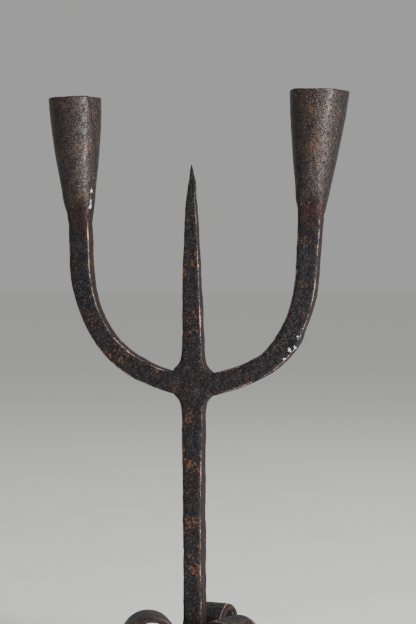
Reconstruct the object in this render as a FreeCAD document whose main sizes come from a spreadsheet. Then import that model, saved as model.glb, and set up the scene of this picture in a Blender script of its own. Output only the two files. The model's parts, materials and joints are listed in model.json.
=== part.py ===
"""A forged iron candelabrum: a spiked stem, two bent arms with rolled candle sockets, three arched legs.

Millimetres, +Z up. The origin is on the stem's axis at the level of the feet's undersides.
The arms lie along X and the front faces -Y. Every piece below is one solid that a smith would
forge on its own: the sockets are welded over the arms' tangs, the arms are welded to the stem's
boss, and the legs' eyes are stacked on the stem's tenon and riveted under a washer.
"""
import FreeCAD, Part
import math
import os

import Sketcher

os.makedirs("parts", exist_ok=True)
doc = FreeCAD.newDocument("Candelabrum")
Vector = FreeCAD.Vector

SIZES = {
    # overall heights, each measured from the one below it
    "boss_height": 184.0,          # floor to the middle of the boss
    "spike_length": 126.0,         # boss middle to the pricket's point
    "arm_rise": 97.0,              # boss middle to the foot of a candle socket
    # stem bar, with its widths (X) and depths (Y) at five levels
    "stem_foot_width": 11.8,
    "stem_foot_depth": 11.0,
    "stem_low_level": 80.0,
    "stem_middle_level": 115.0,
    "stem_middle_width": 11.8,
    "stem_middle_depth": 9.6,
    "stem_neck_drop": 15.0,        # boss middle down to the narrow neck under it
    "stem_neck_width": 13.2,
    "stem_neck_depth": 8.0,
    # pricket
    "spike_root_rise": 14.0,
    "spike_root_width": 12.8,
    "spike_root_depth": 7.9,
    "spike_waist_length": 73.0,    # point down to the waist
    "spike_waist_width": 10.8,
    "spike_waist_depth": 7.0,
    "spike_taper_length": 35.0,    # point down to the start of the fast taper
    "spike_taper_width": 7.7,
    "spike_taper_depth": 5.5,
    "spike_point_length": 10.0,
    "spike_point_width": 4.6,
    "spike_point_depth": 3.2,
    "spike_tip_width": 0.9,
    "spike_lean": 1.7,             # how far the point stands to -X of the stem's axis
    # boss
    "boss_half_width": 12.5,
    "boss_top_rise": 13.5,
    "boss_bottom_drop": 15.4,
    "boss_depth": 9.0,
    # arms
    "arm_width": 12.8,
    "arm_depth": 8.0,
    "weld_bite": 6.0,              # straight run of the bar past the face it is cut at
    "left_reach": 70.5,            # stem axis to the middle of the socket's foot
    "left_root_height": -0.6,      # where the arm's middle line crosses the boss's side, from its middle
    "left_root_heading": 12.0,
    "left_root_radius": 84.0,
    "left_root_turn": 20.0,
    "left_elbow_turn": 42.0,
    "left_upper_radius": 92.0,
    "left_upper_turn": 15.5,
    "right_reach": 69.6,
    "right_root_height": -0.8,
    "right_root_heading": 13.0,
    "right_root_radius": 137.0,
    "right_root_turn": 10.5,
    "right_elbow_turn": 41.0,
    "right_upper_radius": 91.0,
    "right_upper_turn": 22.7,
    # candle sockets: rolled cones
    "socket_wall": 2.0,
    "tang_length": 18.0,
    "left_socket_length": 69.5,
    "left_socket_foot_radius": 7.4,
    "left_socket_swell_drop": 10.0,
    "left_socket_swell_radius": 14.6,
    "left_socket_mouth_radius": 15.1,
    "left_socket_lean": 2.5,
    "right_socket_length": 69.5,
    "right_socket_foot_radius": 7.6,
    "right_socket_swell_drop": 10.0,
    "right_socket_swell_radius": 15.4,
    "right_socket_mouth_radius": 16.5,
    "right_socket_lean": 4.0,
    # legs: flat straps
    "strap_width": 25.0,
    "strap_thickness": 4.0,
    "crown_height": 50.0,
    "arch_radius": 14.3,           # middle line of the hump
    "stem_to_leg_gap": 4.5,        # stem face to the leg's inner flank
    "eye_bend_radius": 4.0,
    "eye_radius": 7.8,
    "foot_run": 4.0,               # flat run from the end of the sweep to the middle of the foot
    "foot_radius": 13.5,
    "back_leg_angle": 86.0,
    "left_leg_angle": 206.0,
    "right_leg_angle": 338.0,
    # tenon, washer and peened head under the legs
    "tenon_radius": 3.5,
    "tenon_clearance": 0.15,
    "washer_radius": 8.0,
    "washer_thickness": 1.5,
    "head_radius": 5.5,
    "head_height": 2.5,
    "head_ground_gap": 6.5,
}

sheet = doc.addObject("Spreadsheet::Sheet", "Sizes")
for row, (alias, number) in enumerate(SIZES.items(), start=1):
    sheet.set(f"A{row}", alias)
    sheet.set(f"B{row}", str(number))
    sheet.setAlias(f"B{row}", alias)
doc.recompute()

# levels and distances that several pieces share, each written once as an expression on the sheet
BOSS = "Sizes.boss_height"
TIP = f"({BOSS} + Sizes.spike_length)"
NECK = f"({BOSS} + Sizes.arm_rise)"
HEAD_TOP = "(Sizes.head_ground_gap + Sizes.head_height)"
STACK_FOOT = f"({HEAD_TOP} + Sizes.washer_thickness)"
SHOULDER = f"({STACK_FOOT} + 3 * Sizes.strap_thickness)"
FLANK = "(Sizes.stem_foot_depth / 2 + Sizes.stem_to_leg_gap + Sizes.strap_thickness / 2)"
EYE_END = f"({FLANK} - Sizes.eye_bend_radius)"
ARCH_LEVEL = "(Sizes.crown_height - Sizes.strap_thickness / 2 - Sizes.arch_radius)"
SWEEP = f"({ARCH_LEVEL} - Sizes.strap_thickness / 2)"
FOOT_REACH = f"({FLANK} + 2 * Sizes.arch_radius + {SWEEP} + Sizes.foot_run)"
TANG_FOOT = "-Sizes.tang_length / 4"   # the root of the tang, a quarter of its length below the foot of the socket
BORE_HOLE = "(Sizes.tenon_radius + Sizes.tenon_clearance)"


def value(expression):
    """The number an expression on the sheet gives now."""
    number = sheet.evalExpression(expression.replace("Sizes.", ""))
    return float(getattr(number, "Value", number))


def body(label):
    """An empty body with its label."""
    made = doc.addObject("PartDesign::Body", label)
    made.Label = label
    return made


def sketch(owner, role, name, x="0", y="0", lift="0", turn=None):
    """A sketch on one of the body's own planes, moved and turned in that plane and lifted off it."""
    made = owner.newObject("Sketcher::SketchObject", name)
    plane = next(item for item in owner.Origin.OriginFeatures if item.Role == role)
    made.AttachmentSupport = [(plane, "")]
    made.MapMode = "FlatFace"
    made.AttachmentOffset = FreeCAD.Placement(
        Vector(value(x), value(y), value(lift)),
        FreeCAD.Rotation(Vector(0, 0, 1), value(turn) if turn else 0),
    )
    made.setExpression("AttachmentOffset.Base.x", x)
    made.setExpression("AttachmentOffset.Base.y", y)
    made.setExpression("AttachmentOffset.Base.z", lift)
    if turn:
        made.setExpression("AttachmentOffset.Rotation.Angle", f"{turn} * 1 deg")
    return made


def bind(drawing, kind, *where, to, unit="mm"):
    """A driving constraint of a sketch, tied to the sheet."""
    number = value(to)
    index = drawing.addConstraint(
        Sketcher.Constraint(kind, *where, math.radians(number) if unit == "deg" else number)
    )
    drawing.setExpression(f"Constraints[{index}]", f"{to} * 1 {unit}")


def outline(drawing, points, closed=True):
    """Straight lines through points, each a pair of expressions for its place."""
    places = [Vector(value(x), value(y), 0) for x, y in points]
    last = len(places) if closed else len(places) - 1
    lines = [
        drawing.addGeometry(Part.LineSegment(places[i], places[(i + 1) % len(places)]), False)
        for i in range(last)
    ]
    for i, line in enumerate(lines):
        if closed or i:
            drawing.addConstraint(Sketcher.Constraint("Coincident", lines[i - 1], 2, line, 1))
        x, y = points[i]
        for kind, place in (("DistanceX", x), ("DistanceY", y)):
            bind(drawing, kind, -1, 1, line, 1, to=place)
    return lines


def rectangle(drawing, width, depth):
    """A rectangle about the sketch's origin."""
    half_w, half_d = f"{width} / 2", f"{depth} / 2"
    outline(drawing, [
        (f"-{half_w}", f"-{half_d}"), (half_w, f"-{half_d}"), (half_w, half_d), (f"-{half_w}", half_d),
    ])


def circle(drawing, radius, x="0", y="0"):
    """A full circle with its centre at a place in the sketch."""
    index = drawing.addGeometry(
        Part.Circle(Vector(value(x), value(y), 0), Vector(0, 0, 1), value(radius)), False
    )
    bind(drawing, "Radius", index, to=radius)
    bind(drawing, "DistanceX", -1, 1, index, 3, to=x)
    bind(drawing, "DistanceY", -1, 1, index, 3, to=y)
    return index


def tangent_path(drawing, start, heading, moves, end=None):
    """A smooth line of straight runs and arcs.

    start is a pair of expressions and heading an angle in degrees. A move is ("run", length, tie)
    or ("arc", radius, turn, tie radius, tie turn), with numbers first and the expressions that
    drive them after, or None where the end point settles the size.
    """
    x, y = value(start[0]), value(start[1])
    angle = heading
    previous = None
    for move in moves:
        if move[0] == "run":
            step = Vector(math.cos(math.radians(angle)), math.sin(math.radians(angle)), 0) * move[1]
            finish = Vector(x, y, 0) + step
            index = drawing.addGeometry(Part.LineSegment(Vector(x, y, 0), finish), False)
            first, last = 1, 2
            if move[2]:
                bind(drawing, "Distance", index, to=move[2])
        else:
            radius, turn = move[1], move[2]
            side = 90 if turn > 0 else -90
            normal = math.radians(angle + side)
            centre = Vector(x, y, 0) + Vector(math.cos(normal), math.sin(normal), 0) * radius
            begin = angle - side
            stop = begin + turn
            low, high = math.radians(min(begin, stop)), math.radians(max(begin, stop))
            arc = Part.ArcOfCircle(Part.Circle(centre, Vector(0, 0, 1), radius), low, high)
            index = drawing.addGeometry(arc, False)
            first, last = (1, 2) if turn > 0 else (2, 1)
            if move[3]:
                bind(drawing, "Radius", index, to=move[3])
            if move[4]:
                bind(drawing, "Angle", index, to=move[4], unit="deg")
            angle += turn
            out = math.radians(stop)
            finish = centre + Vector(math.cos(out), math.sin(out), 0) * radius
        if previous is None:
            bind(drawing, "DistanceX", -1, 1, index, first, to=start[0])
            bind(drawing, "DistanceY", -1, 1, index, first, to=start[1])
        else:
            drawing.addConstraint(
                Sketcher.Constraint("Tangent", previous[0], previous[1], index, first)
            )
        previous = (index, last)
        x, y = finish.x, finish.y
    if end:
        bind(drawing, "DistanceX", -1, 1, previous[0], previous[1], to=end[0])
        bind(drawing, "DistanceY", -1, 1, previous[0], previous[1], to=end[1])


def pad(owner, name, drawing, length, both_ways=False):
    """A pad of a sketch, upwards from it or half to each side."""
    made = owner.newObject("PartDesign::Pad", name)
    made.Profile = drawing
    made.setExpression("Length", length)
    if both_ways:
        made.SideType = "Symmetric"
    return made


def pocket(owner, name, drawing):
    """A cut of a sketch right through the body, to both sides of it."""
    before = owner.Shape.Volume
    made = owner.newObject("PartDesign::Pocket", name)
    made.Profile = drawing
    made.SideType = "Symmetric"
    made.Type = 1
    doc.recompute()
    if not owner.Shape.Volume < before:
        raise RuntimeError(f"{name} cuts nothing")
    return made


def pipe(owner, name, profile, path):
    """A bar of one section along a path."""
    doc.recompute()
    made = owner.newObject("PartDesign::AdditivePipe", name)
    made.Profile = profile
    made.Spine = (path, [f"Edge{i + 1}" for i in range(len(path.Shape.Edges))])
    made.Transition = "Transformed"
    return made


def revolution(owner, name, drawing):
    """A full turn of a sketch about its own vertical axis."""
    made = owner.newObject("PartDesign::Revolution", name)
    made.Profile = drawing
    made.ReferenceAxis = (drawing, ["V_Axis"])
    made.Angle = 360
    return made


def make_stem():
    """The stem: one bar drawn out into the pricket, with its boss, shoulder, tenon and peened head."""
    stem = body("stem")

    def lean(level):
        return f"-Sizes.spike_lean * ({level} - {BOSS}) / Sizes.spike_length"

    waist = f"({TIP} - Sizes.spike_waist_length)"
    taper = f"({TIP} - Sizes.spike_taper_length)"
    point = f"({TIP} - Sizes.spike_point_length)"
    root = f"({BOSS} + Sizes.spike_root_rise)"
    sections = [
        ("Foot", SHOULDER, "0", "Sizes.stem_foot_width", "Sizes.stem_foot_depth"),
        ("Low", "Sizes.stem_low_level", "0", "Sizes.stem_foot_width", "Sizes.stem_foot_depth"),
        ("Middle", "Sizes.stem_middle_level", "0", "Sizes.stem_middle_width", "Sizes.stem_middle_depth"),
        ("Neck", f"({BOSS} - Sizes.stem_neck_drop)", "0", "Sizes.stem_neck_width", "Sizes.stem_neck_depth"),
        ("Root", root, lean(root), "Sizes.spike_root_width", "Sizes.spike_root_depth"),
        ("Waist", waist, lean(waist), "Sizes.spike_waist_width", "Sizes.spike_waist_depth"),
        ("Taper", taper, lean(taper), "Sizes.spike_taper_width", "Sizes.spike_taper_depth"),
        ("Point", point, lean(point), "Sizes.spike_point_width", "Sizes.spike_point_depth"),
        ("Tip", TIP, lean(TIP), "Sizes.spike_tip_width", "Sizes.spike_tip_width"),
    ]
    drawings = []
    for name, level, shift, width, depth in sections:
        drawing = sketch(stem, "XY_Plane", f"Bar{name}", x=shift, lift=level)
        rectangle(drawing, width, depth)
        drawings.append(drawing)
    bar = stem.newObject("PartDesign::AdditiveLoft", "Bar")
    bar.Profile = drawings[0]
    bar.Sections = drawings[1:]
    bar.Ruled = True

    lozenge = sketch(stem, "XZ_Plane", "BossOutline", y=BOSS)
    side, neck = "Sizes.boss_half_width", "Sizes.stem_neck_width / 2"
    top, bottom, flat = "Sizes.boss_top_rise", "-Sizes.boss_bottom_drop", "Sizes.arm_width / 2"
    outline(lozenge, [
        (neck, bottom), (side, f"-{flat}"), (side, flat), (neck, top),
        (f"-{neck}", top), (f"-{side}", flat), (f"-{side}", f"-{flat}"), (f"-{neck}", bottom),
    ])
    pad(stem, "Boss", lozenge, "Sizes.boss_depth", both_ways=True)

    # the tenon starts inside the bar, so the two are one solid
    tenon = sketch(stem, "XY_Plane", "TenonCircle", lift=HEAD_TOP)
    circle(tenon, "Sizes.tenon_radius")
    pad(stem, "Tenon", tenon, f"{SHOULDER} - {HEAD_TOP} + Sizes.tenon_radius")
    head = sketch(stem, "XY_Plane", "HeadCircle", lift="Sizes.head_ground_gap")
    circle(head, "Sizes.head_radius")
    peened = pad(stem, "PeenedHead", head, "Sizes.head_height")
    doc.recompute()
    low_edge = min(range(len(peened.Shape.Edges)), key=lambda i: peened.Shape.Edges[i].BoundBox.ZMax)
    rounded = stem.newObject("PartDesign::Chamfer", "HeadRounding")
    rounded.Base = (peened, [f"Edge{low_edge + 1}"])
    rounded.setExpression("Size", "Sizes.head_height / 2")
    return stem


def socket_radius(side, height, inner):
    """The cone's radius at a height above its foot, on the straight flare up to its swell."""
    name = f"Sizes.{side}_socket"
    swell = f"({name}_length - {name}_swell_drop)"
    wall = " - Sizes.socket_wall" if inner else ""
    flare = f"({name}_swell_radius - {name}_foot_radius)"
    return f"({name}_foot_radius + {flare} * ({height}) / {swell}{wall})"


def make_arm(side, turned):
    """One arm: a flat bar bent in the plane of the arms, cut square to the boss, with its tang."""
    arm = body(f"{side}_arm")
    size = f"Sizes.{side}"
    root_x = "(Sizes.boss_half_width - Sizes.weld_bite)"
    heading = value(f"{size}_root_heading")
    slope = f"tan({size}_root_heading * 1 deg)"
    root_z = f"({BOSS} + {size}_root_height - Sizes.weld_bite * {slope})"
    turns = [value(f"{size}_{part}_turn") for part in ("root", "elbow", "upper")]
    radii = [value(f"{size}_root_radius"), 0.0, value(f"{size}_upper_radius")]
    first_run = value("Sizes.weld_bite") / math.cos(math.radians(heading))

    # the elbow's radius and the straight top run are what carries the bar to the socket's foot
    ends = [heading]
    for turn in turns:
        ends.append(ends[-1] + turn)
    sines = [math.sin(math.radians(angle)) for angle in ends]
    cosines = [math.cos(math.radians(angle)) for angle in ends]
    across = value(f"{size}_reach") - value(root_x) - first_run * cosines[0]
    up = value(NECK) - value(root_z) - first_run * sines[0]
    for i in (0, 2):
        across -= radii[i] * (sines[i + 1] - sines[i])
        up -= radii[i] * (cosines[i] - cosines[i + 1])
    spread, climb = sines[2] - sines[1], cosines[1] - cosines[2]
    end_x, end_z = cosines[3], sines[3]
    radii[1] = (across * end_z - up * end_x) / (spread * end_z - climb * end_x)
    top_run = (up - radii[1] * climb) / end_z

    path = sketch(arm, "XZ_Plane", "MiddleLine")
    tangent_path(path, (root_x, root_z), heading, [
        ("run", first_run, f"(Sizes.weld_bite / cos({size}_root_heading * 1 deg))"),
        ("arc", radii[0], turns[0], f"{size}_root_radius", f"{size}_root_turn"),
        ("arc", radii[1], turns[1], None, f"{size}_elbow_turn"),
        ("arc", radii[2], turns[2], f"{size}_upper_radius", f"{size}_upper_turn"),
        ("run", top_run, None),
    ], end=(f"{size}_reach", NECK))
    bind(path, "Angle", 0, to=f"{size}_root_heading", unit="deg")

    section = sketch(arm, "XY_Plane", "BarSection", x=f"{size}_reach", lift=NECK)
    rectangle(section, "Sizes.arm_width", "Sizes.arm_depth")
    pipe(arm, "Bar", section, path)
    doc.recompute()

    cut = sketch(arm, "XZ_Plane", "WeldFace", y=BOSS)
    deep = "(Sizes.arm_width + Sizes.weld_bite)"
    outline(cut, [
        (f"-{deep}", f"-{deep}"), ("Sizes.boss_half_width", f"-{deep}"),
        ("Sizes.boss_half_width", deep), (f"-{deep}", deep),
    ])
    pocket(arm, "WeldCut", cut)

    tang = sketch(arm, "XZ_Plane", "TangProfile", x=f"{size}_reach", y=NECK, turn=f"-{size}_socket_lean")
    outline(tang, [
        ("0", TANG_FOOT), ("Sizes.arm_depth / 2", TANG_FOOT),
        (socket_radius(side, "0", True), "0"),
        (socket_radius(side, "Sizes.tang_length", True), "Sizes.tang_length"),
        ("0", "Sizes.tang_length"),
    ])
    revolution(arm, "Tang", tang)
    if turned:
        arm.Placement = FreeCAD.Placement(Vector(0, 0, 0), FreeCAD.Rotation(Vector(0, 0, 1), 180))
    return arm


def make_socket(side, turned):
    """One candle socket: an open cone rolled from sheet, standing on the arm around its tang."""
    made = body(f"{side}_socket")
    name = f"Sizes.{side}_socket"
    wall = "Sizes.socket_wall"
    swell = f"({name}_length - {name}_swell_drop)"
    profile = sketch(made, "XZ_Plane", "WallProfile")
    outline(profile, [
        (f"({name}_foot_radius - {wall})", "0"), (f"{name}_foot_radius", "0"),
        (f"{name}_swell_radius", swell), (f"{name}_mouth_radius", f"{name}_length"),
        (f"({name}_mouth_radius - {wall})", f"{name}_length"), (f"({name}_swell_radius - {wall})", swell),
    ])
    revolution(made, "Cone", profile)
    out = -1 if turned else 1
    made.Placement = FreeCAD.Placement(
        Vector(0, 0, 0), FreeCAD.Rotation(Vector(0, out, 0), value(f"{name}_lean"))
    )
    made.setExpression("Placement.Base.x", f"{out} * Sizes.{side}_reach")
    made.setExpression("Placement.Base.z", NECK)
    made.setExpression("Placement.Rotation.Angle", f"{name}_lean * 1 deg")
    return made


def make_leg(side, layer):
    """One leg: a flat strap from its pierced eye, up and over the hump and down to its foot.

    layer counts the eyes on the tenon from the washer up.
    """
    leg = body(f"{side}_leg")
    thick = "Sizes.strap_thickness"
    level = f"({STACK_FOOT} + {layer} * {thick})"
    middle = f"({level} + {thick} / 2)"
    bend, arch = "Sizes.eye_bend_radius", "Sizes.arch_radius"

    eye = sketch(leg, "XY_Plane", "EyeOutline", lift=level)
    round_end, wide = "Sizes.eye_radius", "Sizes.strap_width / 2"
    sides = outline(eye, [
        ("0", f"-{round_end}"), (EYE_END, f"-{wide}"), (EYE_END, wide), ("0", round_end),
    ], closed=False)
    bind(eye, "DistanceX", -1, 1, sides[-1], 2, to="0")
    bind(eye, "DistanceY", -1, 1, sides[-1], 2, to=round_end)
    ring = Part.Circle(Vector(0, 0, 0), Vector(0, 0, 1), value(round_end))
    back = eye.addGeometry(Part.ArcOfCircle(ring, math.radians(90), math.radians(270)), False)
    eye.addConstraint(Sketcher.Constraint("Coincident", back, 1, sides[-1], 2))
    eye.addConstraint(Sketcher.Constraint("Coincident", back, 2, sides[0], 1))
    bind(eye, "DistanceX", -1, 1, back, 3, to="0")
    circle(eye, BORE_HOLE)
    pad(leg, "Eye", eye, thick)

    path = sketch(leg, "XZ_Plane", "MiddleLine")
    flank = value(ARCH_LEVEL) - value(middle) - value(bend)
    tangent_path(path, (EYE_END, middle), 0, [
        ("arc", value(bend), 90, bend, None),
        ("run", flank, f"({ARCH_LEVEL} - {middle} - {bend})"),
        ("arc", value(arch), -180, arch, None),
        ("arc", value(SWEEP), 90, SWEEP, None),
        ("run", value("Sizes.foot_run"), "Sizes.foot_run"),
    ])
    path.addConstraint(Sketcher.Constraint("Vertical", 1))
    path.addConstraint(Sketcher.Constraint("Horizontal", 2, 1, 2, 2))
    path.addConstraint(Sketcher.Constraint("Horizontal", 4))
    path.addConstraint(Sketcher.Constraint("Vertical", 0, 1, 0, 3))
    section = sketch(leg, "YZ_Plane", "StrapSection", y=middle, lift=EYE_END)
    rectangle(section, "Sizes.strap_width", thick)
    pipe(leg, "Strap", section, path)

    foot = sketch(leg, "XY_Plane", "FootCircle")
    circle(foot, "Sizes.foot_radius", x=FOOT_REACH)
    pad(leg, "Foot", foot, thick)
    leg.Placement = FreeCAD.Placement(
        Vector(0, 0, 0), FreeCAD.Rotation(Vector(0, 0, 1), value(f"Sizes.{side}_leg_angle"))
    )
    leg.setExpression("Placement.Rotation.Angle", f"Sizes.{side}_leg_angle * 1 deg")
    return leg


def make_washer():
    """The washer between the lowest eye and the peened head."""
    washer = body("rivet_washer")
    ring = sketch(washer, "XY_Plane", "Ring")
    circle(ring, "Sizes.washer_radius")
    circle(ring, BORE_HOLE)
    pad(washer, "Disc", ring, "Sizes.washer_thickness")
    washer.setExpression("Placement.Base.z", HEAD_TOP)
    return washer


pieces = [make_stem()]
for side_name, is_turned in (("left", True), ("right", False)):
    pieces.append(make_arm(side_name, is_turned))
    pieces.append(make_socket(side_name, is_turned))
for eye_layer, leg_name in enumerate(("back", "left", "right")):
    pieces.append(make_leg(leg_name, eye_layer))
pieces.append(make_washer())
doc.recompute()

for item in doc.Objects:
    if "Invalid" in item.State or "Error" in item.State:
        raise RuntimeError(f"{item.Name} failed: {item.State}")
for piece in pieces:
    if piece.Shape.isNull() or not piece.Shape.isValid():
        raise RuntimeError(f"{piece.Label} has no valid shape")
    if len(piece.Shape.Solids) != 1:
        raise RuntimeError(f"{piece.Label} is {len(piece.Shape.Solids)} solids")
for piece in pieces:
    piece.Shape.exportStep(f"parts/{piece.Label}.step")
    print(piece.Label, round(piece.Shape.Volume), "mm3")
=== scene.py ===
"""A forged iron candelabrum: its bars, rolled sockets and strap legs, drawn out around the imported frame."""
import json
import math

import bmesh
import bpy
from mathutils import Matrix, Vector, noise


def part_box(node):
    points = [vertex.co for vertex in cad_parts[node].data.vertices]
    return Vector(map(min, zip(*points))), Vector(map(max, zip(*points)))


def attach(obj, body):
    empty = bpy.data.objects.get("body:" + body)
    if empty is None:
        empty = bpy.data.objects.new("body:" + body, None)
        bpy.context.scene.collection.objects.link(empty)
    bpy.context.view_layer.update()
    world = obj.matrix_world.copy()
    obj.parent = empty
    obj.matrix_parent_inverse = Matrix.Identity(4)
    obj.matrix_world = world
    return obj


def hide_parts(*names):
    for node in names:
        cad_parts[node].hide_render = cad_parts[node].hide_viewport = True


bl_info = {
    "name": "Forged Candelabrum",
    "version": (1, 0, 0),
    "blender": (4, 5, 0),
    "location": "View3D > Sidebar > Forge",
    "description": "Builds a spiked iron candelabrum with rolled candle sockets on arched legs",
    "category": "Add Mesh",
}

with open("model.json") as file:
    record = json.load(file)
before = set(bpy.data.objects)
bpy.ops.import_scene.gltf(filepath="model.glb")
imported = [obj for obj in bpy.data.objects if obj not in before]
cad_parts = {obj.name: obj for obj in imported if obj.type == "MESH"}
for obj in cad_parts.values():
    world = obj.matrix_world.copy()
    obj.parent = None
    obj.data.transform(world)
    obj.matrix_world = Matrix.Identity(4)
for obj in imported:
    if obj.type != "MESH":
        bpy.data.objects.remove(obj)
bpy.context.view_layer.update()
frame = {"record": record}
MOUNTS = {item["name"]: item for item in frame["record"]["mounts"]}

MM = 0.001
RING = 48               # vertices round a bar
STEP = 0.8 * MM         # distance between two rings of a bar
SHEET_STEP = 0.9        # millimetres between two rows of a socket's sheet
SHEET_STEPS = 96        # steps round a socket's sheet
SHEET_TURNS = 1.06      # turns of the sheet, the part over 1 being its lap
SKIRT = 7.0             # how far the sheet runs down past the foot in millimetres, over the arm
LIP = 4.0               # how far below the mouth in millimetres the rim starts to wander
CORNER = 45             # degrees from a bar's face to its corner
ARRIS_REACH = 9.0       # degrees to each side of a corner that count as its arris
SPIKE_LENGTH = 126 * MM
TENON_WIDTH = 7.0 * MM
HOLE = 3.65 * MM        # radius of the hole for the tenon
STEM_LOW, STEM_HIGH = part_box("stem")
WASHER_LOW, WASHER_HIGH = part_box("rivet_washer")
BOSS = STEM_HIGH.z - SPIKE_LENGTH
WELD_RUN = 6 * MM       # straight run of an arm past the boss
NECK_RUN = 26.5 * MM    # straight run of an arm below its socket
BOSS_HALF = STEM_HIGH.x  # half the boss's width
# The flank layer carries the brown reflection painted on the side faces.
LAYERS = ("arris", "flank", "handled")
# How far a bar is handled, by millimetres from the boss's middle. It keeps the rust off the boss.
BAR_HANDLED = ((14, 1.0), (26, 0.0))


# ---------------------------------------------------------------- sizes and colours

def length(name, description, default):
    """A length property in metres, with its default in millimetres."""
    return bpy.props.FloatProperty(
        name=name, description=description, default=default * MM,
        min=0.0, unit="LENGTH", subtype="DISTANCE",
    )


def colour(name, description, default):
    """A linear colour property."""
    return bpy.props.FloatVectorProperty(
        name=name, description=description, default=default,
        size=3, min=0.0, max=1.0, subtype="COLOR",
    )


class ForgeSizes(bpy.types.PropertyGroup):
    """Sizes of the smith's work."""
    dent_depth: length("Dent depth", "How deep the hammer's dents are in the bars", 0.22)
    dent_size: length("Dent size", "How far apart the hammer's dents are", 9.0)
    wave_height: length("Wave height", "How far the bars wander from true", 0.3)
    pit_depth: length("Pit depth", "How deep the scale has pitted the faces", 0.11)
    nick_depth: length("Nick depth", "How deep the arrises are nicked", 0.55)
    socket_wall: length("Socket wall", "Thickness of the rolled sheet", 1.7)
    lap_step: length("Lap step", "How far the lap of the rolled sheet stands proud", 0.9)
    tang_length: length("Tang length", "How far the arm's tang reaches into its socket", 18.0)
    strap_width: length("Strap width", "Width of the legs' strap", 25.0)
    strap_thickness: length("Strap thickness", "Thickness of the legs' strap", 4.0)


class IronColours(bpy.types.PropertyGroup):
    """Colours of the old waxed iron."""
    blue_black: colour("Blue black", "Forge scale", (0.012, 0.011, 0.0145))
    brown_black: colour("Brown black", "Waxed brown patina", (0.017, 0.0105, 0.009))
    scale: colour("Scale", "Paler flakes of scale", (0.062, 0.052, 0.051))
    polished: colour("Polished", "Bright iron of the rolled sockets", (0.066, 0.053, 0.045))
    rust: colour("Rust", "Rust flecks", (0.115, 0.048, 0.027))
    # Painted reflection: the brown laid on the sockets' sides, strongest on the left side, standing in for
    # the warm rim light they catch.
    tan: colour("Tan", "Thin tan rust on the sides of the sockets", (0.085, 0.052, 0.030))
    burnt: colour("Burnt", "Red brown scale at the welds", (0.030, 0.012, 0.008))
    worn: colour("Worn arris", "Metal rubbed on the arrises", (0.48, 0.36, 0.31))
    # Painted reflection: the brown laid on the bars' side faces and arrises, standing in for the warm rim
    # light they catch.
    side_reflection_ochre: colour("Ochre", "Thin brown rust on the flanks", (0.024, 0.013, 0.009))
    dust: colour("Dust", "Dull dust on the legs", (0.085, 0.068, 0.042))
    wax: colour("Wax", "Pale specks of old wax", (0.52, 0.56, 0.60))
    floor: colour("Floor", "The pale studio floor", (0.86, 0.86, 0.84))


# ---------------------------------------------------------------- shaping

def eased(value, stops):
    """The height of a smooth line through stops of (place, height) at a place."""
    if value <= stops[0][0]:
        return stops[0][1]
    for (low, first), (high, last) in zip(stops, stops[1:]):
        if value <= high:
            part = (value - low) / (high - low)
            return first + (last - first) * part * part * (3 - 2 * part)
    return stops[-1][1]


def straight(value, stops):
    """The height of a straight-sided line through stops of (place, height) at a place."""
    if value <= stops[0][0]:
        return stops[0][1]
    for (low, first), (high, last) in zip(stops, stops[1:]):
        if value <= high:
            return first + (last - first) * (value - low) / (high - low)
    return stops[-1][1]


def swell(place, middle, reach, plain, full):
    """A plain width that swells smoothly to its full one within reach of the middle."""
    return plain + (full - plain) / (1 + ((place - middle) / reach) ** 6)


def walk(start, heading, moves):
    """Stations along runs and arcs in the plane of X and Z: distance, place and heading in degrees."""
    place, distance = Vector(start), 0.0
    stations = [(0.0, place.copy(), heading)]
    for run, turn in moves:
        count = max(1, round(run / STEP))
        for _ in range(count):
            heading += turn / count / 2
            turned = math.radians(heading)
            place += Vector((math.cos(turned), 0, math.sin(turned))) * run / count
            heading += turn / count / 2
            distance += run / count
            stations.append((distance, place.copy(), heading))
    return stations


def lay_ring(verts, layers, place, across, through, width, depth, squareness, wear=1.0):
    """Lays a ring of vertices on a rounded rectangle, or on a circle at a squareness of 2."""
    arris, flank, handled = layers
    for i, vert in enumerate(verts):
        angle = 2 * math.pi * i / len(verts)
        c, s = math.cos(angle), math.sin(angle)
        reach = 0.5 / (abs(c) ** squareness + abs(s) ** squareness) ** (1 / squareness)
        vert.co = place + across * (c * reach * width) + through * (s * reach * depth)
        off_corner = abs((360 * i / len(verts)) % 90 - CORNER)
        vert[arris] = wear * max(0.0, 1 - off_corner / ARRIS_REACH)
        # The flank marks the side faces, where the material paints a brown reflection.
        vert[flank] = 1.0 if abs(c) > abs(s) * 1.05 else 0.0
        vert[handled] = eased((place - Vector((0, 0, BOSS))).length / MM, BAR_HANDLED)


def marked_layers(bm):
    """Adds the layers that the material reads and gives them back."""
    for name in LAYERS:
        bm.verts.layers.float.new(name)
    return [bm.verts.layers.float[name] for name in LAYERS]


def grow(bm, verts, edges):
    """Extrudes a row of edges and gives the new row's vertices, in the order of the old ones."""
    grown = bmesh.ops.extrude_edge_only(bm, edges=edges)["geom"]
    fresh = set(item for item in grown if isinstance(item, bmesh.types.BMVert))
    raised = []
    for vert in verts:
        raised.append(next(
            edge.other_vert(vert) for edge in vert.link_edges if edge.other_vert(vert) in fresh
        ))
    return raised


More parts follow.
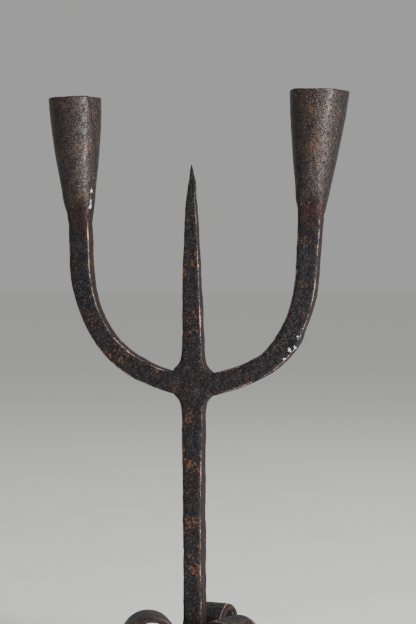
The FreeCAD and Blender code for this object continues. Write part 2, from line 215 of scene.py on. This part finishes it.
def draw_out(bm, rings):
    """Draws a bar out through rings and closes both ends.

    A ring is place, across, through, width, depth, squareness and, if not 1, wear.
    """
    layers = marked_layers(bm)
    arris = layers[0]
    verts = bmesh.ops.create_circle(bm, cap_ends=False, radius=1.0, segments=RING)["verts"]
    first = list(verts)
    lay_ring(verts, layers, *rings[0])
    edges = [bm.edges.get((verts[i - 1], verts[i])) for i in range(RING)]
    for ring in rings[1:]:
        verts = grow(bm, verts, edges)
        edges = [bm.edges.get((verts[i - 1], verts[i])) for i in range(RING)]
        lay_ring(verts, layers, *ring)
    for end in (first, verts):
        face = bm.faces.new(end)
        bmesh.ops.inset_individual(bm, faces=[face], thickness=0.25 * MM)
        for vert in face.verts:
            vert[arris] = 0.0
    bmesh.ops.recalc_face_normals(bm, faces=bm.faces)
    return bm


def hammer(bm, seed, sizes, strength=1.0, flatten=None):
    """Presses waves, hammer dents, pits and arris nicks into the surface."""
    arris = bm.verts.layers.float.get("arris")
    shift = Vector((seed * 17.3, seed * 5.1, seed * 9.7))
    bm.normal_update()
    moves = []
    for vert in bm.verts:
        place = vert.co / MM + shift
        near = noise.voronoi(place * (MM / sizes.dent_size))[0]
        dent = -max(0.0, 1 - near[0] * near[0] * 2.2) * sizes.dent_depth
        wave = noise.noise(place / 15) * sizes.wave_height
        ripple = noise.noise(place / 4.3) * sizes.pit_depth * 1.3
        pits = noise.noise(place / 1.5) * sizes.pit_depth
        worn = 0.0
        if arris:
            worn = -vert[arris] * max(0.0, noise.noise(place / 2.7) + 0.25) * sizes.nick_depth
        moves.append(vert.normal * (dent + wave + ripple + pits + worn) * strength)
    for vert, move in zip(bm.verts, moves):
        vert.co += move
        if flatten is not None:
            vert.co.z = max(vert.co.z, flatten)
    bm.normal_update()


def press(bm, centre, radius, depth):
    """Pushes the surface in, or out where depth is negative, round a point."""
    bm.normal_update()
    for vert in bm.verts:
        near = (vert.co - centre).length / radius
        if near < 2.5:
            vert.co -= vert.normal * depth * math.exp(-near * near)
    bm.normal_update()


def finished(bm, name, material, node):
    """Makes the piece's object from its mesh, in place of the CAD node."""
    mesh = bpy.data.meshes.new(name)
    bm.to_mesh(mesh)
    bm.free()
    for polygon in mesh.polygons:
        polygon.use_smooth = True
    piece = bpy.data.objects.new(name, mesh)
    bpy.context.scene.collection.objects.link(piece)
    mesh.materials.append(material)
    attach(piece, "root")
    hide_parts(node)
    return piece


# ---------------------------------------------------------------- shader writing

class Flow:
    """A shader socket that can be written in sums."""

    def __init__(self, bench, socket):
        self.bench, self.socket = bench, socket

    def sum(self, operation, first, second):
        return self.bench.node("ShaderNodeMath", {"operation": operation}, {0: first, 1: second})

    def __add__(self, other):
        return self.sum("ADD", self, other)

    def __sub__(self, other):
        return self.sum("SUBTRACT", self, other)

    def __mul__(self, other):
        return self.sum("MULTIPLY", self, other)

    def __rsub__(self, other):
        return self.sum("SUBTRACT", other, self)

    __radd__ = __add__


class Bench:
    """A material's node tree, with the few nodes the iron is painted with."""

    def __init__(self, name):
        self.material = bpy.data.materials.new(name)
        self.material.use_nodes = True
        self.tree = self.material.node_tree
        self.shader = self.tree.nodes["Principled BSDF"]
        coordinates = self.node("ShaderNodeTexCoord", output="Object")
        self.place = self.node(
            "ShaderNodeVectorMath", {"operation": "SCALE"}, {0: coordinates, "Scale": 1 / MM},
        )

    def node(self, kind, settings=None, values=None, output=0):
        """Adds a node, with settings on itself and values or flows into its inputs."""
        made = self.tree.nodes.new(kind)
        for key, setting in (settings or {}).items():
            setattr(made, key, setting)
        for key, value in (values or {}).items():
            self.feed(made.inputs[key], value)
        return Flow(self, made.outputs[output])

    def feed(self, socket, value):
        """Links a flow to a socket, or sets a constant on it."""
        if isinstance(value, Flow):
            self.tree.links.new(value.socket, socket)
        elif socket.type == "RGBA" and len(value) == 3:
            socket.default_value = (*value, 1.0)
        else:
            socket.default_value = value

    def grain(self, size, detail=3.0, roughness=0.55, shift=(0, 0, 0), squeeze=(1, 1, 1)):
        """Noise with features of a size in millimetres."""
        scale = tuple(axis / size for axis in squeeze)
        place = self.node("ShaderNodeMapping", {}, {"Vector": self.place, "Location": shift, "Scale": scale})
        return self.node("ShaderNodeTexNoise", {}, {
            "Vector": place, "Scale": 1.0, "Detail": detail, "Roughness": roughness,
        })

    def cells(self, size, ruffle):
        """Distance from the nearest of many scattered points a size apart, its outline ruffled by a noise."""
        away = self.node("ShaderNodeTexVoronoi", {}, {"Vector": self.place, "Scale": 1 / size})
        return away + (ruffle - 0.5) * 0.5

    def step(self, value, low, high):
        """0 below low, 1 above high, and smooth between."""
        return self.node("ShaderNodeMapRange", {"interpolation_type": "SMOOTHSTEP"}, {
            "Value": value, "From Min": low, "From Max": high,
        })

    def mix(self, factor, first, second):
        """The first colour at a factor of 0 and the second at 1."""
        made = self.tree.nodes.new("ShaderNodeMix")
        made.data_type = "RGBA"
        self.feed(made.inputs["Factor"], factor)
        self.feed(made.inputs[6], first)
        self.feed(made.inputs[7], second)
        return Flow(self, made.outputs[2])

    def mark(self, name):
        """One of the layers laid on the vertices."""
        return self.node("ShaderNodeAttribute", {"attribute_name": name}, output="Fac")

    def spot(self, centre, radius, soft, ragged):
        """A ragged round spot about a point, all in millimetres, its edge as wide as soft."""
        away = self.node(
            "ShaderNodeVectorMath", {"operation": "DISTANCE"}, {0: self.place, 1: centre}, output="Value",
        )
        edge = (ragged - 0.85) * (radius + 1.0) * 3.5 + radius
        return self.step(edge - away, -soft / 2, soft / 2)


def iron(name, colours, shift, rust=0.7, sheen=0.0, dust=0.0, edge="side_reflection_ochre", patches=()):
    """Old waxed iron: mottled scale, brown patina, rust flecks, rubbed arrises and pitting, with a brown
    reflection painted on the side faces.
    """
    bench = Bench(name)
    cloud = bench.grain(13.0, 4.0, 0.6, shift)
    mottle = bench.grain(2.6, 4.0, 0.65, shift)
    grit = bench.grain(0.8, 2.0, 0.6, shift, (0.75, 0.75, 1.4))
    speckle = bench.grain(1.1, 3.0, 0.6, (shift[1], shift[2], shift[0]))
    arris, flank, handled = bench.mark("arris"), bench.mark("flank"), bench.mark("handled")

    patina = bench.step(cloud * 0.5 + mottle * 0.5, 0.42, 0.6)
    body = bench.mix(patina, colours.blue_black, colours.brown_black)
    body = bench.mix(bench.step(grit * 0.7 + mottle * 0.3, 0.50, 0.72), body, colours.scale)
    bright = bench.step(mottle * 0.2 + cloud * 0.3 + grit * 0.5 + handled * 0.2, 0.52, 0.84) * sheen
    body = bench.mix(bright, body, colours.polished)
    black = tuple(channel * 0.3 for channel in colours.blue_black)
    pores = bench.step(speckle * 0.8 + mottle * 0.2, 0.49, 0.38) * (0.85 - sheen * 0.35)
    body = bench.mix(pores, body, black)
    dusty = bench.step(grit * 0.6 + cloud * 0.4, 0.47, 0.62) * dust
    body = bench.mix(dusty, body, colours.dust)
    # Painted reflection: brown laid on the side faces and arrises, in the colour given as edge, standing in
    # for the warm rim light they catch.
    brown = bench.step(flank * 0.55 + arris * 0.5 + mottle * 0.5 + cloud * 0.2, 0.70, 0.95) * 0.8
    body = bench.mix(brown, body, getattr(colours, edge))
    dots = bench.step(bench.cells(2.3, grit) - (cloud - 0.5) * 1.7, 0.18, 0.07)
    patch = bench.step(speckle * 0.55 + cloud * 0.45, 0.60, 0.67)
    kept_off = 0.0 if sheen else rust * 0.8
    flecks = bench.node("ShaderNodeMath", {"operation": "MAXIMUM"}, {0: dots, 1: patch})
    flecks = flecks * (rust - handled * kept_off)
    body = bench.mix(flecks, body, colours.rust)
    rubbed = bench.step(arris * 0.8 + mottle * 0.5 + cloud * 0.8, 1.28, 1.52)
    body = bench.mix(rubbed, body, colours.worn)
    for finish, centre, radius, soft in patches:
        spot = bench.spot(centre, radius, soft, mottle * 0.9 + grit * 0.5 + speckle * 0.3)
        holes = 1.0 if finish == "wax" else bench.step(grit * 0.6 + mottle * 0.4, 0.40, 0.58) * 0.85
        body = bench.mix(spot * holes, body, getattr(colours, finish))

    bench.feed(bench.shader.inputs["Base Color"], body)
    metal = 0.3 + bright * 0.6 + rubbed * 0.5 - flecks * 0.3 - brown * 0.3
    bench.feed(bench.shader.inputs["Metallic"], metal)
    rough = 0.38 + mottle * 0.16 + flecks * 0.2 + brown * 0.2 - rubbed * 0.1 - bright * 0.16
    bench.feed(bench.shader.inputs["Roughness"], rough)
    waxed = bench.step(mottle * 0.4 + grit * 0.6, 0.42, 0.60) * (0.34 - flank * 0.26)
    bench.feed(bench.shader.inputs["Coat Weight"], waxed)
    bench.shader.inputs["Coat Roughness"].default_value = 0.32
    bench.shader.inputs["Specular IOR Level"].default_value = 0.15
    height = grit * 0.55 + speckle * 0.45 + mottle * 0.7
    bump = bench.node("ShaderNodeBump", {}, {"Strength": 1.0, "Distance": 0.9 * MM, "Height": height})
    bench.feed(bench.shader.inputs["Normal"], bump)
    return bench.material


def on_cone(side, height, angle):
    """A point on a socket's outside, by height over its foot and angle, 0 towards +X and -90 in front."""
    foot, axis = socket_line(side)
    across, turn = Vector((axis.z, 0, -axis.x)), math.radians(angle)
    outward = across * math.cos(turn) + Vector((0, math.sin(turn), 0))
    return foot + axis * height * MM + outward * cone_radius(side, height) * MM


def on_arm(rings, distance, part):
    """A point on an arm's front face, by distance from its root and part of the way out from its middle."""
    place, across, through, width, depth = rings[round(distance * MM / STEP)][:5]
    return place + across * width / 2 * part - through * depth / 2


def weld_marks(side):
    """Burnt scale all round the socket's foot, where it was welded to the arm."""
    foot, _ = socket_line(side)
    reach, soft = 9.0, 5.0
    return [("burnt", foot / MM, reach, soft)]


def drips(points, size):
    """Specks of wax at points, each a little smaller than the one before."""
    return [("wax", point / MM, size * (1 - 0.12 * i), 0.4) for i, point in enumerate(points)]


def arm_marks(side):
    """The arm's weld scale, with wax that dripped on the right arm's elbow."""
    if side == "left":
        return weld_marks(side)
    rings = arm_rings(side)
    elbow = [on_arm(rings, 50 + 4 * i, 0.85 - 0.2 * (i % 2)) for i in range(5)]
    return weld_marks(side) + drips(elbow, 0.9)


def socket_marks(side):
    """The socket's weld scale, with wax that ran down the left socket above its foot."""
    if side == "right":
        return weld_marks(side)
    run = [on_cone(side, 5 + 5 * i + 2 * math.sin(5 * i), -25 + 6 * math.sin(3 * i)) for i in range(4)]
    return weld_marks(side) + drips(run, 0.8)


def paper(name, shade):
    """A plain matt stage material."""
    bench = Bench(name)
    tone = bench.grain(60.0, 2.0)
    soft = tuple(channel * 0.97 for channel in shade)
    bench.feed(bench.shader.inputs["Base Color"], bench.mix(tone, shade, soft))
    bench.shader.inputs["Roughness"].default_value = 1.0
    bench.shader.inputs["Specular IOR Level"].default_value = 0.0
    return bench.material


# ---------------------------------------------------------------- pieces

# share of the peened head's height, and its radius there
PEENED_HEAD = ((0.0, 2.4), (0.1, 3.9), (0.3, 4.8), (0.6, 5.4), (0.85, 5.45), (1.0, 5.1), (1.0, 3.6))


def stem_rings():
    """Rings of the stem: peened head, tenon, shoulder, bar, boss and pricket."""
    x, y = Vector((1, 0, 0)), Vector((0, 1, 0))
    sizes = bpy.context.scene.forge_sizes
    shoulder = WASHER_HIGH.z + 3 * sizes.strap_thickness
    rings = []
    base, top = STEM_LOW.z, WASHER_LOW.z
    for part, radius in PEENED_HEAD:
        level = Vector((0, 0, base + (top - base) * part))
        rings.append((level, x, y, 2 * radius * MM, 2 * radius * MM, 2.0))
    for part in (0.3, 0.6, 1.0):
        level = Vector((0, 0, top + (shoulder - top) * part))
        rings.append((level, x, y, TENON_WIDTH, TENON_WIDTH, 2.0))
    rings.append((Vector((0, 0, shoulder)), x, y, 9.0 * MM, 9.6 * MM, 4.0))

    # half widths of the bar to each side of the axis, and its depth, by height from the boss's middle
    left = ((-170, 5.2), (-100, 5.5), (-20, 7.0), (20, 6.8), (70, 6.4), (108, 4.5), (126, 2.1))
    right = ((-170, 6.7), (-70, 5.8), (-20, 6.4), (15, 6.0), (70, 3.6), (116, 1.0), (126, -1.3))
    depth = ((-170, 11.6), (-100, 11.5), (-16, 8.0), (50, 7.0), (90, 5.5), (126, 0.8))
    square = ((-170, 9.0), (80, 8.0), (126, 2.5))
    wear = ((-24, 0.9), (0, 0.0), (16, 0.9))
    height = shoulder - BOSS
    while height < SPIKE_LENGTH:
        here = height / MM
        lower = swell(here, 0.0, 9.5, straight(here, left), BOSS_HALF / MM)
        upper = swell(here, -1.5, 8.5, straight(here, right), BOSS_HALF / MM)
        middle = Vector(((upper - lower) / 2 * MM, 0, BOSS + height))
        wide, deep = (lower + upper) * MM, eased(here, depth) * MM
        rings.append((middle, x, y, wide, deep, straight(here, square), straight(here, wear)))
        closer = 0.6 if abs(here) < 20 else 1.0     # finer rings at the boss
        height += STEP * closer
    rings.append((Vector((-1.7 * MM, 0, STEM_HIGH.z)), x, y, 0.5 * MM, 0.5 * MM, 2.0))
    return rings


ARMS = {
    # the root's reach and rise from the boss's middle, its heading in degrees, radius and turn of each bend,
    # then by distance along the bar its half widths inside and outside the bend, and its depth
    "left": {
        "root": (6.5, -2.05), "heading": 12.0,
        "bends": ((84, 20), (60, 42), (92, 15.5)),
        "inner": ((0, 6.9), (15, 6.3), (130, 6.4)),
        "outer": ((0, 6.5), (15, 5.8), (30, 6.2), (70, 6.0), (95, 7.0)),
        "depths": ((0, 7.4), (5, 9.0), (60, 7.8), (130, 9.0)),
    },
    "right": {
        "root": (6.5, -2.2), "heading": 13.0,
        "bends": ((137, 10.5), (49.3, 41), (91, 22.7)),
        "inner": ((0, 6.7), (15, 5.7), (35, 5.7), (60, 6.9), (95, 7.4)),
        "outer": ((0, 7.0), (40, 6.5), (60, 7.0), (66, 5.8), (100, 5.5), (130, 6.9)),
        "depths": ((0, 7.2), (60, 8.0), (130, 9.2)),
    },
}


def socket_line(side):
    """The socket's foot and its axis."""
    mount = MOUNTS[f"{side}_candle_socket"]
    axis = Vector(mount["axis"])
    return Vector(mount["pos_m"]) - axis * (SOCKETS[side]["length"] * MM), axis


def arm_rings(side):
    """Rings of an arm: from inside the boss's side, round the bend and up into the socket as its tang."""
    arm, out = ARMS[side], -1 if side == "left" else 1
    y = Vector((0, 1, 0))
    foot, axis = socket_line(side)
    reach, rise = arm["root"]
    bends = [(radius * math.radians(turn) * MM, turn) for radius, turn in arm["bends"]]
    moves = [(WELD_RUN, 0.0), *bends, (NECK_RUN, 0.0)]
    stations = walk((reach * MM, 0, BOSS + rise * MM), arm["heading"], moves)
    slip = Vector((foot.x * out, 0, foot.z)) - stations[-1][1]
    total = stations[-1][0]
    rings = []
    for distance, place, heading in stations:
        place = place + slip * (distance / total) ** 2
        turn = math.radians(heading)
        across = Vector((math.sin(turn) * out, 0, -math.cos(turn)))
        here = distance / MM
        inner, outer = eased(here, arm["inner"]) * MM, eased(here, arm["outer"]) * MM
        depth = eased(here, arm["depths"]) * MM
        square = eased(here, ((0, 6.0), (20, 9.0), (110, 8.0), (131, 5.0)))
        middle = Vector((place.x * out, 0, place.z)) + across * (outer - inner) / 2
        wear = eased(here, ((0, 0.0), (6, 0.3), (12, 1.0)))
        rings.append((middle, across, y, inner + outer, depth, square, wear))
    sizes = bpy.context.scene.forge_sizes
    right = Vector((axis.z, 0, -axis.x)) * out
    for part, radius, square in ((0.12, 5.0, 3.0), (0.5, 5.9, 2.2), (0.96, 7.0, 2.0), (1.0, 6.6, 2.0)):
        size = 2 * radius * MM
        rings.append((foot + axis * sizes.tang_length * part, right, y, size, size, square))
    return rings


SOCKETS = {
    # length, radii at the foot and the mouth, how much the cone bellies, the lap's angle at the mouth and
    # its drift down the cone, and how far the rim tilts and falls short
    "left": {
        "length": 69.5, "foot": 7.3, "mouth": 15.5, "belly": 1.7, "lap": -40.0, "drift": 0.7, "tilt": -0.2,
        "short": 0.1,
    },
    "right": {
        "length": 69.5, "foot": 7.5, "mouth": 16.8, "belly": 1.35, "lap": 105.0, "drift": 0.4, "tilt": 0.7,
        "short": 1.2,
    },
}


def cone_radius(side, height):
    """The cone's outer radius at a height above its foot, which narrows on down the skirt."""
    shape = SOCKETS[side]
    if height < 0:
        return shape["foot"] + 0.15 * height
    up = min(1.0, height / shape["length"])
    return shape["foot"] + (shape["mouth"] - shape["foot"]) * (1 - (1 - up) ** shape["belly"])


def close_foot(bm, side):
    """Hammers the foot shut on the arm with a ring of blows round it."""
    for i in range(7):
        blow = on_cone(side, 2.0 + 2.5 * (i % 2), 360 / 7 * i)
        press(bm, blow, 3.0 * MM, (0.5 if i % 3 else -0.3) * MM)


def roll_socket(side, sizes):
    """A socket: sheet rolled once round into a cone, its lap standing proud of the turn beneath."""
    shape = SOCKETS[side]
    foot, axis = socket_line(side)
    across, through = Vector((axis.z, 0, -axis.x)), Vector((0, 1, 0))
    bm = bmesh.new()
    arris, flank, handled = marked_layers(bm)
    first = bm.verts.new((1, 0, 0))
    bmesh.ops.spin(
        bm, geom=[first], cent=(0, 0, 0), axis=(0, 0, 1),
        angle=math.tau * SHEET_TURNS, steps=SHEET_STEPS, use_merge=False,
    )
    bm.verts.ensure_lookup_table()
    chain = sorted(bm.verts, key=lambda vert: vert.index)
    heights = [-SKIRT]
    while heights[-1] < shape["length"] - 0.5:
        heights.append(heights[-1] + SHEET_STEP)
    heights[-1] = shape["length"]

    def lay(verts, height):
        """Lays a row of the sheet round the cone at a height above its foot."""
        lap = math.radians(shape["lap"] + shape["drift"] * (shape["length"] - height))
        radius = cone_radius(side, height)
        square = eased(height, ((-SKIRT, 5.0), (0, 4.0), (17, 2.05)))
        flat = eased(height, ((-SKIRT, 0.61), (0, 0.76), (18, 1.0)))
        proud = sizes.lap_step / MM * min(1.0, max(0.15, height / 20))
        for i, vert in enumerate(verts):
            turned = math.tau * SHEET_TURNS * i / SHEET_STEPS
            angle = lap - turned
            c, s = math.cos(angle), math.sin(angle)
            reach = 1.0 / (abs(c) ** square + abs(s) ** square) ** (1 / square)
            size = radius * reach + proud * (0.5 - turned / math.tau)
            up = 0.0
            if height > shape["length"] - LIP:
                up = 0.2 * math.sin(angle * 2 + 0.6) + 0.15 * math.sin(angle * 5)
                up += shape["tilt"] * c - shape["short"]
                up *= (height - shape["length"] + LIP) / LIP
            vert.co = foot + axis * (height + up) * MM + through * s * size * flat * MM
            vert.co += across * (c * size - 0.4) * MM
            off_corner = abs(math.degrees(angle) % 90 - CORNER)
            vert[arris] = max(0.0, 1 - off_corner / ARRIS_REACH) * max(0.0, 1 - (height + SKIRT) / 12)
            # Painted reflection: brown on the socket's sides, full on the left (-X) side and only 0.3 on the
            # right.
            vert[flank] = abs(c) ** 5 * (1.0 if c < 0 else 0.3)
            vert[handled] = eased(height, ((-3, 0.1), (15, 1.0)))

    lay(chain, heights[0])
    verts = chain
    edges = [bm.edges.get((verts[i], verts[i + 1])) for i in range(SHEET_STEPS)]
    for height in heights[1:]:
        verts = grow(bm, verts, edges)
        edges = [bm.edges.get((verts[i], verts[i + 1])) for i in range(SHEET_STEPS)]
        lay(verts, height)
    bmesh.ops.recalc_face_normals(bm, faces=bm.faces)
    outward = 0.0
    for face in bm.faces:
        away = face.calc_center_median() - foot
        outward += face.normal.dot(away - axis * away.dot(axis))
    if outward < 0:
        bmesh.ops.reverse_faces(bm, faces=bm.faces)
    for vert in verts:
        vert[arris] = 0.9
    bmesh.ops.solidify(bm, geom=bm.faces[:], thickness=sizes.socket_wall)
    bmesh.ops.recalc_face_normals(bm, faces=bm.faces)
    return bm


def leg_rings(side, layer, sizes):
    """Rings of a leg: its eye on the tenon, the inner flank, the hump, the sweep and the foot."""
    place = Vector(MOUNTS[f"{side}_foot"]["pos_m"])
    angle = math.atan2(place.y, place.x)
    outward = Vector((math.cos(angle), math.sin(angle), 0))
    sideways = Vector((-math.sin(angle), math.cos(angle), 0))
    thick, wide = sizes.strap_thickness, sizes.strap_width
    level = WASHER_HIGH.z + (layer + 0.5) * thick
    _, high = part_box(f"{side}_leg")
    # middle radii of the hump and of the bend by the eye, the eye's radius, and the foot's run and radius
    arch, bend, eye = 14.3 * MM, 4.0 * MM, 7.8 * MM
    foot_run, foot = 4.0 * MM, 13.5 * MM
    crown = high.z - thick / 2
    arch_level = crown - arch
    sweep = arch_level - thick / 2
    eye_end = place.length - foot_run - sweep - 2 * arch - bend
    moves = ((eye + eye_end, 0.0), (bend * math.pi / 2, 90.0), (arch_level - level - bend, 0.0),
             (arch * math.pi, -180.0), (sweep * math.pi / 2, 90.0), (foot_run + foot, 0.0))
    stations = walk((-eye, 0, level), 0.0, moves)
    total = stations[-1][0]
    start_foot = total - foot * 2.6
    rings = []
    for distance, spot, heading in stations:
        turn = math.radians(heading)
        normal = outward * -math.sin(turn) + Vector((0, 0, math.cos(turn)))
        width, depth = wide, thick
        if distance < eye:
            width = 2 * math.sqrt(max(0.0, eye * eye - (eye - distance) ** 2)) + 0.6 * MM
        elif distance < eye + eye_end:
            width = 2 * eye + (wide - 2 * eye) * (distance - eye) / eye_end
        if distance > start_foot:
            part = (distance - start_foot) / (total - start_foot)
            depth = thick * (1 - 0.3 * part)
            width = wide + (2 * foot - wide) * min(1.0, part * 2)
        if distance > total - foot:
            width = 2 * math.sqrt(max(0.0, foot * foot - (distance - total + foot) ** 2)) + 0.6 * MM
        centre = outward * spot.x + Vector((0, 0, spot.z)) - normal * (thick - depth) / 2
        rings.append((centre, sideways, normal, width, depth, 5.0))
    return rings


def pierce(piece, radius, low, high):
    """Drifts the tenon's hole through an eye."""
    bm = bmesh.new()
    bmesh.ops.create_cone(
        bm, cap_ends=True, segments=48, radius1=radius, radius2=radius, depth=high - low,
        matrix=Matrix.Translation((0, 0, (high + low) / 2)),
    )
    mesh = bpy.data.meshes.new("drift")
    bm.to_mesh(mesh)
    bm.free()
    drift = bpy.data.objects.new("drift", mesh)
    bpy.context.scene.collection.objects.link(drift)
    cut = piece.modifiers.new("Tenon hole", "BOOLEAN")
    cut.operation, cut.solver, cut.object = "DIFFERENCE", "EXACT", drift
    bpy.context.view_layer.update()
    shape = piece.evaluated_get(bpy.context.evaluated_depsgraph_get())
    cut_mesh = bpy.data.meshes.new_from_object(shape)
    piece.modifiers.clear()
    old = piece.data
    piece.data = cut_mesh
    bpy.data.meshes.remove(old)
    cut_mesh.name = piece.name
    bpy.data.objects.remove(drift)


# ---------------------------------------------------------------- operators

class FORGE_OT_stem(bpy.types.Operator):
    """Draws out the stem with its boss, pricket, tenon and peened head"""
    bl_idname = "forge.stem"
    bl_label = "Stem"

    def execute(self, context):
        sizes, colours = context.scene.forge_sizes, context.scene.iron_colours
        bm = draw_out(bmesh.new(), stem_rings())
        hammer(bm, 1, sizes)
        finished(bm, "stem_forged", iron("stem iron", colours, (30, 8, 61)), "stem")
        return {"FINISHED"}


class FORGE_OT_arms(bpy.types.Operator):
    """Bends the two arms out from the boss and up into the sockets"""
    bl_idname = "forge.arms"
    bl_label = "Arms"

    def execute(self, context):
        sizes, colours = context.scene.forge_sizes, context.scene.iron_colours
        for seed, side in enumerate(("left", "right"), start=2):
            bm = draw_out(bmesh.new(), arm_rings(side))
            hammer(bm, seed, sizes)
            material = iron(f"{side} arm iron", colours, (seed * 23, 17, seed * 5), patches=arm_marks(side))
            finished(bm, f"{side}_arm_forged", material, f"{side}_arm")
        return {"FINISHED"}


class FORGE_OT_sockets(bpy.types.Operator):
    """Rolls the two candle sockets"""
    bl_idname = "forge.sockets"
    bl_label = "Sockets"

    def execute(self, context):
        sizes, colours = context.scene.forge_sizes, context.scene.iron_colours
        for seed, side, sheen in ((5, "left", 0.8), (6, "right", 0.92)):
            bm = roll_socket(side, sizes)
            hammer(bm, seed, sizes, strength=0.45)
            close_foot(bm, side)
            # The sockets' sides get the tan as a painted reflection.
            material = iron(
                f"{side} socket iron", colours, (seed * 7, 2, seed), sheen=sheen, edge="tan",
                patches=socket_marks(side),
            )
            finished(bm, f"{side}_socket_rolled", material, f"{side}_socket")
        return {"FINISHED"}


class FORGE_OT_legs(bpy.types.Operator):
    """Bends the three strap legs and stacks their eyes"""
    bl_idname = "forge.legs"
    bl_label = "Legs"

    def execute(self, context):
        sizes, colours = context.scene.forge_sizes, context.scene.iron_colours
        for layer, side in enumerate(("back", "left", "right")):
            bm = draw_out(bmesh.new(), leg_rings(side, layer, sizes))
            hammer(bm, 8 + layer, sizes, strength=0.8, flatten=0.0)
            material = iron(f"{side} leg iron", colours, (layer * 13, 6, layer * 5), dust=0.25)
            piece = finished(bm, f"{side}_leg_forged", material, f"{side}_leg")
            low = WASHER_HIGH.z + (layer - 0.5) * sizes.strap_thickness
            pierce(piece, HOLE, low, low + 2 * sizes.strap_thickness)
        return {"FINISHED"}


class FORGE_OT_washer(bpy.types.Operator):
    """Cuts the washer that the tenon is peened over"""
    bl_idname = "forge.washer"
    bl_label = "Washer"

    def execute(self, context):
        bm = bmesh.new()
        radius, low, high = WASHER_HIGH.x, WASHER_LOW.z, WASHER_HIGH.z
        outline = ((HOLE, low), (radius, low), (radius, high), (HOLE, high))
        corners = [bm.verts.new((reach, 0, level)) for reach, level in outline]
        edges = [bm.edges.new((corners[i - 1], corners[i])) for i in range(4)]
        bmesh.ops.spin(
            bm, geom=corners + edges, cent=(0, 0, 0), axis=(0, 0, 1),
            angle=math.tau, steps=64, use_merge=True,
        )
        bmesh.ops.remove_doubles(bm, verts=bm.verts, dist=0.01 * MM)
        bmesh.ops.recalc_face_normals(bm, faces=bm.faces)
        rims = [edge for edge in bm.edges if edge.calc_face_angle(0) > 1.0]
        bmesh.ops.bevel(
            bm, geom=rims, affect="EDGES", offset=(high - low) * 0.2, segments=2, profile=0.5, material=-1,
        )
        material = iron("washer iron", context.scene.iron_colours, (1, 2, 3))
        finished(bm, "rivet_washer_cut", material, "rivet_washer")
        return {"FINISHED"}


class FORGE_OT_stage(bpy.types.Operator):
    """Sets the pale floor, the soft lights and the camera"""
    bl_idname = "forge.stage"
    bl_label = "Stage"

    def execute(self, context):
        scene = context.scene
        bm = bmesh.new()
        bmesh.ops.create_grid(bm, x_segments=1, y_segments=1, size=40.0)
        mesh = bpy.data.meshes.new("floor")
        bm.to_mesh(mesh)
        bm.free()
        floor = bpy.data.objects.new("floor", mesh)
        scene.collection.objects.link(floor)
        mesh.materials.append(paper("floor paper", scene.iron_colours.floor))

        world = bpy.data.worlds.new("studio")
        world.use_nodes = True
        backdrop = world.node_tree.nodes["Background"]
        backdrop.inputs["Color"].default_value = (0.99, 1.0, 0.985, 1.0)
        backdrop.inputs["Strength"].default_value = 0.38
        scene.world = world

        overhead = bpy.data.lights.new("overhead", "SUN")
        overhead.energy, overhead.angle = 0.15, math.radians(70)
        above = bpy.data.objects.new("overhead", overhead)
        scene.collection.objects.link(above)

        middle = Vector((0, 0, 0.24))
        for name, azimuth, elevation, away, wide, tall, power in (
            ("key", 56.0, 10.0, 1.6, 0.26, 0.9, 60.0),
            ("fill", -60.0, 25.0, 1.6, 0.9, 0.9, 1.0),
            ("back", 165.0, 50.0, 1.5, 0.8, 0.8, 4.0),
        ):
            lamp = bpy.data.lights.new(name, "AREA")
            lamp.shape, lamp.size, lamp.size_y, lamp.energy = "RECTANGLE", wide, tall, power
            light = bpy.data.objects.new(name, lamp)
            scene.collection.objects.link(light)
            aim(light, middle, azimuth, elevation, away)

        lens = bpy.data.cameras.new("camera")
        lens.lens, lens.sensor_width = 85.0, 36.0
        camera = bpy.data.objects.new("camera", lens)
        scene.collection.objects.link(camera)
        azimuth = math.radians(17.0)
        distance, height, aside = 0.855, 0.240, 8.0 * MM
        dip = 1.05      # degrees that the camera looks down
        right = Vector((math.cos(azimuth), math.sin(azimuth), 0))
        camera.location = Vector((math.sin(azimuth), -math.cos(azimuth), 0)) * distance + right * aside
        camera.location.z = height
        camera.rotation_euler = (math.radians(90 - dip), 0, azimuth)
        scene.camera = camera
        return {"FINISHED"}


def aim(thing, target, azimuth, elevation, away):
    """Puts a light round the target, azimuth 0 at the front, and points it there."""
    turn, rise = math.radians(azimuth), math.radians(elevation)
    direction = Vector((math.sin(turn) * math.cos(rise), -math.cos(turn) * math.cos(rise), math.sin(rise)))
    thing.location = target + direction * away
    thing.rotation_euler = direction.to_track_quat("Z", "Y").to_euler()


class FORGE_PT_panel(bpy.types.Panel):
    """Lists the forge's work in the sidebar"""
    bl_idname = "FORGE_PT_panel"
    bl_label = "Candelabrum"
    bl_space_type = "VIEW_3D"
    bl_region_type = "UI"
    bl_category = "Forge"

    def draw(self, context):
        for group in (context.scene.forge_sizes, context.scene.iron_colours):
            for name in group.bl_rna.properties.keys():
                if name not in ("rna_type", "name"):
                    self.layout.prop(group, name)
        for operator in OPERATORS:
            self.layout.operator(operator.bl_idname)


OPERATORS = (FORGE_OT_stem, FORGE_OT_arms, FORGE_OT_sockets, FORGE_OT_legs, FORGE_OT_washer, FORGE_OT_stage)
CLASSES = (ForgeSizes, IronColours, *OPERATORS, FORGE_PT_panel)


def register():
    for made in CLASSES:
        bpy.utils.register_class(made)
    bpy.types.Scene.forge_sizes = bpy.props.PointerProperty(type=ForgeSizes)
    bpy.types.Scene.iron_colours = bpy.props.PointerProperty(type=IronColours)


def unregister():
    del bpy.types.Scene.iron_colours
    del bpy.types.Scene.forge_sizes
    for made in reversed(CLASSES):
        bpy.utils.unregister_class(made)


def main():
    """Builds everything in order."""
    register()
    for operator in OPERATORS:
        getattr(bpy.ops.forge, operator.bl_idname.split(".")[1])()


if __name__ == "__main__":
    main()
